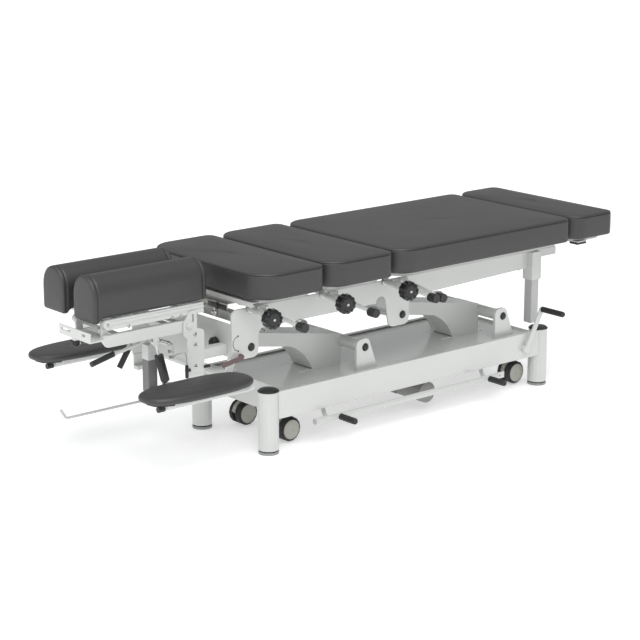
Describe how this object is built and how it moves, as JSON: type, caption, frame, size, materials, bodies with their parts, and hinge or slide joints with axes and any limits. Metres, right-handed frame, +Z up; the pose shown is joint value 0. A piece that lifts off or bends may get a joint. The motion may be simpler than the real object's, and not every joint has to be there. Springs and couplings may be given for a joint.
{
  "type": "chiropractic table",
  "caption": "Height-adjustable chiropractic table with padded drop sections, a tilting headpiece, swing armrests and retractable casters",
  "frame": {"origin": "on the floor under the middle of the table, at its lowest height", "axes": "+X to the foot end, +Y to the side away from the tension knobs, +Z up"},
  "size_m": [1.9808, 0.718, 0.611],
  "materials": {
    "white_enamel": "satin",
    "white_board": "satin",
    "upholstery": "satin",
    "black_plastic": "satin",
    "black_enamel": "satin",
    "grey_enamel": "satin",
    "grey_board": "matte",
    "bare_steel": "polished",
    "beige_plastic": "satin",
    "black_tread": "matte",
    "mauve_grip": "matte"
  },
  "bodies": {
    "base": {"base_tray": "white_enamel", "leg_near_head": "white_enamel", "leg_far_head": "white_enamel", "leg_near_foot": "white_enamel", "leg_far_foot": "white_enamel", "base_pin_head": "black_enamel", "base_pin_foot": "black_enamel"},
    "lift_arm_head_body": {"lift_arm_head": "white_enamel"},
    "lift_arm_foot_body": {"lift_arm_foot": "white_enamel"},
    "frame": {"upper_frame": "white_enamel", "upper_pin_head": "black_enamel", "upper_pin_foot": "black_enamel", "head_carrier": "white_enamel"},
    "lock_knob": {"frame_lock_knob": "black_plastic"},
    "chest_section": {"chest_drop_frame": "white_board", "chest_cushion": "upholstery"},
    "lumbar_section": {"lumbar_drop_frame": "white_board", "lumbar_cushion": "upholstery"},
    "pelvic_section": {"pelvic_drop_frame": "white_board", "pelvic_cushion": "upholstery"},
    "foot_section": {"foot_slide_frame": "white_board", "foot_cushion": "upholstery"},
    "chest_knob": {"chest_tension_knob": "black_plastic"},
    "lumbar_knob": {"lumbar_tension_knob": "black_plastic"},
    "pelvic_knob": {"pelvic_tension_knob": "black_plastic"},
    "chest_lever": {"chest_cocking_lever": "white_enamel"},
    "lumbar_lever": {"lumbar_cocking_lever": "white_enamel"},
    "pelvic_lever": {"pelvic_cocking_lever": "white_enamel"},
    "pelvic_lock_lever": {"pelvic_lock_cocking_lever": "white_enamel"},
    "head_tilt": {"head_tilt_frame": "white_enamel"},
    "head_drop": {"head_drop_frame": "white_enamel"},
    "bolster_near_body": {"bolster_board_near": "grey_board", "bolster_near": "upholstery"},
    "bolster_far_body": {"bolster_board_far": "grey_board", "bolster_far": "upholstery"},
    "spring_sleeve": {"gas_spring_sleeve": "black_enamel"},
    "spring_rod": {"gas_spring_rod": "bare_steel"},
    "release_lever": {"head_release_lever": "white_enamel"},
    "drop_lever": {"head_drop_lever": "white_enamel"},
    "clamp": {"head_clamp_handle": "black_enamel"},
    "armrest_near": {"armrest_tube_near": "white_enamel", "armrest_pad_near": "upholstery"},
    "armrest_far": {"armrest_tube_far": "white_enamel", "armrest_pad_far": "upholstery"},
    "release_grip": {"armrest_release_grip": "mauve_grip"},
    "hooked_rod": {"hooked_release_rod": "grey_enamel"},
    "carriage_head": {"caster_carriage_head": "grey_enamel"},
    "carriage_foot": {"caster_carriage_foot": "grey_enamel"},
    "foot_bar_body": {"foot_bar": "white_enamel"},
    "caster_lever_body": {"caster_lever": "white_enamel"},
    "actuator": {"lift_actuator": "grey_enamel"},
    "actuator_rod": {"lift_actuator_rod": "bare_steel"},
    "caster_near_head": {"caster_housing_near_head": "beige_plastic"},
    "wheels_near_head": {"caster_wheels_near_head": "black_tread"},
    "caster_far_head": {"caster_housing_far_head": "beige_plastic"},
    "wheels_far_head": {"caster_wheels_far_head": "black_tread"},
    "caster_near_foot": {"caster_housing_near_foot": "beige_plastic"},
    "wheels_near_foot": {"caster_wheels_near_foot": "black_tread"},
    "caster_far_foot": {"caster_housing_far_foot": "beige_plastic"},
    "wheels_far_foot": {"caster_wheels_far_foot": "black_tread"}
  },
  "joints": [
    {"name": "table_lift", "type": "hinge", "parent": "base", "child": "lift_arm_head_body", "pos_m": [0.0125, 0, 0.2545], "axis": [0, 1, 0], "range_deg": [0, 42]},
    {"name": "lift_arm_foot_turn", "type": "hinge", "parent": "base", "child": "lift_arm_foot_body", "pos_m": [0.6065, 0, 0.2545], "axis": [0, 1, 0], "range_deg": [0, 42]},
    {"name": "frame_level", "type": "hinge", "parent": "lift_arm_head_body", "child": "frame", "pos_m": [-0.42751, 0, 0.33209], "axis": [0, 1, 0], "range_deg": [-42, 0]},
    {"name": "actuator_swing", "type": "hinge", "parent": "base", "child": "actuator", "pos_m": [0.3535, 0, 0.1], "axis": [0, 1, 0], "range_deg": [0, 4.8]},
    {"name": "actuator_extend", "type": "slide", "parent": "actuator", "child": "actuator_rod", "axis": [-0.9982, 0, 0.0597], "range_m": [0, 0.0907]},
    {"name": "lock_knob_turn", "type": "hinge", "parent": "frame", "child": "lock_knob", "pos_m": [-0.49881, -0.08, 0.34459], "axis": [-1, 0, 0], "continuous": true},
    {"name": "chest_drop", "type": "slide", "parent": "frame", "child": "chest_section", "axis": [0, 0, 1], "range_m": [-0.02, 0]},
    {"name": "lumbar_drop", "type": "slide", "parent": "frame", "child": "lumbar_section", "axis": [0, 0, 1], "range_m": [-0.02, 0]},
    {"name": "pelvic_drop", "type": "slide", "parent": "frame", "child": "pelvic_section", "axis": [0, 0, 1], "range_m": [-0.02, 0]},
    {"name": "chest_cocking", "type": "hinge", "parent": "frame", "child": "chest_lever", "pos_m": [-0.4025, -0.163, 0.447], "axis": [1, 0, 0], "range_deg": [0, 24]},
    {"name": "lumbar_cocking", "type": "hinge", "parent": "frame", "child": "lumbar_lever", "pos_m": [-0.1275, -0.163, 0.447], "axis": [1, 0, 0], "range_deg": [0, 24]},
    {"name": "pelvic_cocking", "type": "hinge", "parent": "frame", "child": "pelvic_lever", "pos_m": [0.1225, -0.163, 0.447], "axis": [1, 0, 0], "range_deg": [0, 24]},
    {"name": "pelvic_lock_cocking", "type": "hinge", "parent": "frame", "child": "pelvic_lock_lever", "pos_m": [0.1561, -0.163, 0.447], "axis": [1, 0, 0], "range_deg": [0, 24]},
    {"name": "foot_section_slide", "type": "slide", "parent": "frame", "child": "foot_section", "axis": [1, 0, 0], "range_m": [0, 0.12]},
    {"name": "chest_tension", "type": "hinge", "parent": "frame", "child": "chest_knob", "pos_m": [-0.4505, -0.28, 0.4455], "axis": [-0.134, -0.9904, -0.0335], "continuous": true},
    {"name": "lumbar_tension", "type": "hinge", "parent": "frame", "child": "lumbar_knob", "pos_m": [-0.1755, -0.28, 0.4455], "axis": [-0.134, -0.9904, -0.0335], "continuous": true},
    {"name": "pelvic_tension", "type": "hinge", "parent": "frame", "child": "pelvic_knob", "pos_m": [0.0745, -0.28, 0.4455], "axis": [-0.134, -0.9904, -0.0335], "continuous": true},
    {"name": "head_tilt_turn", "type": "hinge", "parent": "frame", "child": "head_tilt", "pos_m": [-0.6395, 0, 0.428], "axis": [0, 1, 0], "range_deg": [-15, 18]},
    {"name": "spring_swing", "type": "hinge", "parent": "frame", "child": "spring_sleeve", "pos_m": [-0.71225, -0.126, 0.265], "axis": [0, 1, 0], "range_deg": [-0.3, 0.3]},
    {"name": "spring_stroke", "type": "slide", "parent": "spring_sleeve", "child": "spring_rod", "axis": [-0.2587, 0, 0.9659], "range_m": [-0.0305, 0.0366]},
    {"name": "head_drop_turn", "type": "hinge", "parent": "head_tilt", "child": "head_drop", "pos_m": [-0.9115, 0, 0.476], "axis": [0, 1, 0], "range_deg": [0, 3]},
    {"name": "bolster_near_slide", "type": "slide", "parent": "head_drop", "child": "bolster_near_body", "axis": [0, -1, 0], "range_m": [0, 0.025]},
    {"name": "bolster_far_slide", "type": "slide", "parent": "head_drop", "child": "bolster_far_body", "axis": [0, 1, 0], "range_m": [0, 0.025]},
    {"name": "release_lever_turn", "type": "hinge", "parent": "head_tilt", "child": "release_lever", "pos_m": [-0.7515, -0.1105, 0.421], "axis": [0, 1, 0], "range_deg": [0, 6], "stiffness_Nm_per_rad": 3},
    {"name": "drop_lever_turn", "type": "hinge", "parent": "head_tilt", "child": "drop_lever", "pos_m": [-0.8115, -0.094, 0.421], "axis": [0, 1, 0], "range_deg": [0, 25]},
    {"name": "clamp_turn", "type": "hinge", "parent": "head_tilt", "child": "clamp", "pos_m": [-0.9625, -0.05, 0.4175], "axis": [0, 0, 1], "range_deg": [-90, 90]},
    {"name": "armrest_near_turn", "type": "hinge", "parent": "frame", "child": "armrest_near", "pos_m": [-0.5065, -0.283, 0.256], "axis": [0, 1, 0], "range_deg": [-30, 20]},
    {"name": "armrest_far_turn", "type": "hinge", "parent": "frame", "child": "armrest_far", "pos_m": [-0.5065, 0.283, 0.256], "axis": [0, 1, 0], "range_deg": [-30, 20]},
    {"name": "armrest_release_turn", "type": "hinge", "parent": "frame", "child": "release_grip", "pos_m": [-0.46851, -0.153, 0.31209], "axis": [0, 1, 0], "range_deg": [0, 20], "stiffness_Nm_per_rad": 1.5},
    {"name": "hooked_rod_turn", "type": "hinge", "parent": "frame", "child": "hooked_rod", "pos_m": [-0.5265, 0, 0.23], "axis": [0, 1, 0], "range_deg": [0, 3]},
    {"name": "carriage_head_slide", "type": "slide", "parent": "base", "child": "carriage_head", "axis": [0, 0, 1], "range_m": [-0.012, 0]},
    {"name": "carriage_foot_slide", "type": "slide", "parent": "base", "child": "carriage_foot", "axis": [0, 0, 1], "range_m": [-0.012, 0]},
    {"name": "caster_near_head_swivel", "type": "hinge", "parent": "carriage_head", "child": "caster_near_head", "pos_m": [-0.2435, -0.105, 0.112], "axis": [0, 0, 1], "continuous": true},
    {"name": "wheels_near_head_spin", "type": "hinge", "parent": "caster_near_head", "child": "wheels_near_head", "pos_m": [-0.2615, -0.105, 0.041], "axis": [0, 1, 0], "continuous": true},
    {"name": "caster_far_head_swivel", "type": "hinge", "parent": "carriage_head", "child": "caster_far_head", "pos_m": [-0.2435, 0.105, 0.112], "axis": [0, 0, 1], "continuous": true},
    {"name": "wheels_far_head_spin", "type": "hinge", "parent": "caster_far_head", "child": "wheels_far_head", "pos_m": [-0.2615, 0.105, 0.041], "axis": [0, 1, 0], "continuous": true},
    {"name": "caster_near_foot_swivel", "type": "hinge", "parent": "carriage_foot", "child": "caster_near_foot", "pos_m": [0.6805, -0.105, 0.112], "axis": [0, 0, 1], "continuous": true},
    {"name": "wheels_near_foot_spin", "type": "hinge", "parent": "caster_near_foot", "child": "wheels_near_foot", "pos_m": [0.6985, -0.105, 0.041], "axis": [0, 1, 0], "continuous": true},
    {"name": "caster_far_foot_swivel", "type": "hinge", "parent": "carriage_foot", "child": "caster_far_foot", "pos_m": [0.6805, 0.105, 0.112], "axis": [0, 0, 1], "continuous": true},
    {"name": "wheels_far_foot_spin", "type": "hinge", "parent": "caster_far_foot", "child": "wheels_far_foot", "pos_m": [0.6985, 0.105, 0.041], "axis": [0, 1, 0], "continuous": true},
    {"name": "foot_bar_turn", "type": "hinge", "parent": "base", "child": "foot_bar_body", "pos_m": [-0.0065, -0.15, 0.118], "axis": [1, 0, 0], "range_deg": [-6, 6], "stiffness_Nm_per_rad": 120, "springref_deg": -0.6},
    {"name": "caster_lever_turn", "type": "hinge", "parent": "base", "child": "caster_lever_body", "pos_m": [0.6735, -0.2015, 0.14], "axis": [0, 1, 0], "range_deg": [-60, 0]}
  ],
  "couplings": [
    {"joint": "lift_arm_foot_turn", "follows": "table_lift", "ratio": 1},
    {"joint": "frame_level", "follows": "table_lift", "ratio": -1},
    {"joint": "actuator_swing", "follows": "table_lift", "ratio": 0.11},
    {"joint": "actuator_extend", "follows": "table_lift", "m_per_rad": 0.1235},
    {"joint": "chest_cocking", "follows": "chest_drop", "rad_per_m": -20.9},
    {"joint": "lumbar_cocking", "follows": "lumbar_drop", "rad_per_m": -20.9},
    {"joint": "pelvic_cocking", "follows": "pelvic_drop", "rad_per_m": -20.9},
    {"joint": "spring_swing", "follows": "head_tilt_turn", "ratio": -0.01},
    {"joint": "spring_stroke", "follows": "head_tilt_turn", "m_per_rad": 0.116},
    {"joint": "carriage_head_slide", "follows": "caster_lever_turn", "m_per_rad": 0.01145},
    {"joint": "carriage_foot_slide", "follows": "caster_lever_turn", "m_per_rad": 0.01145}
  ]
}
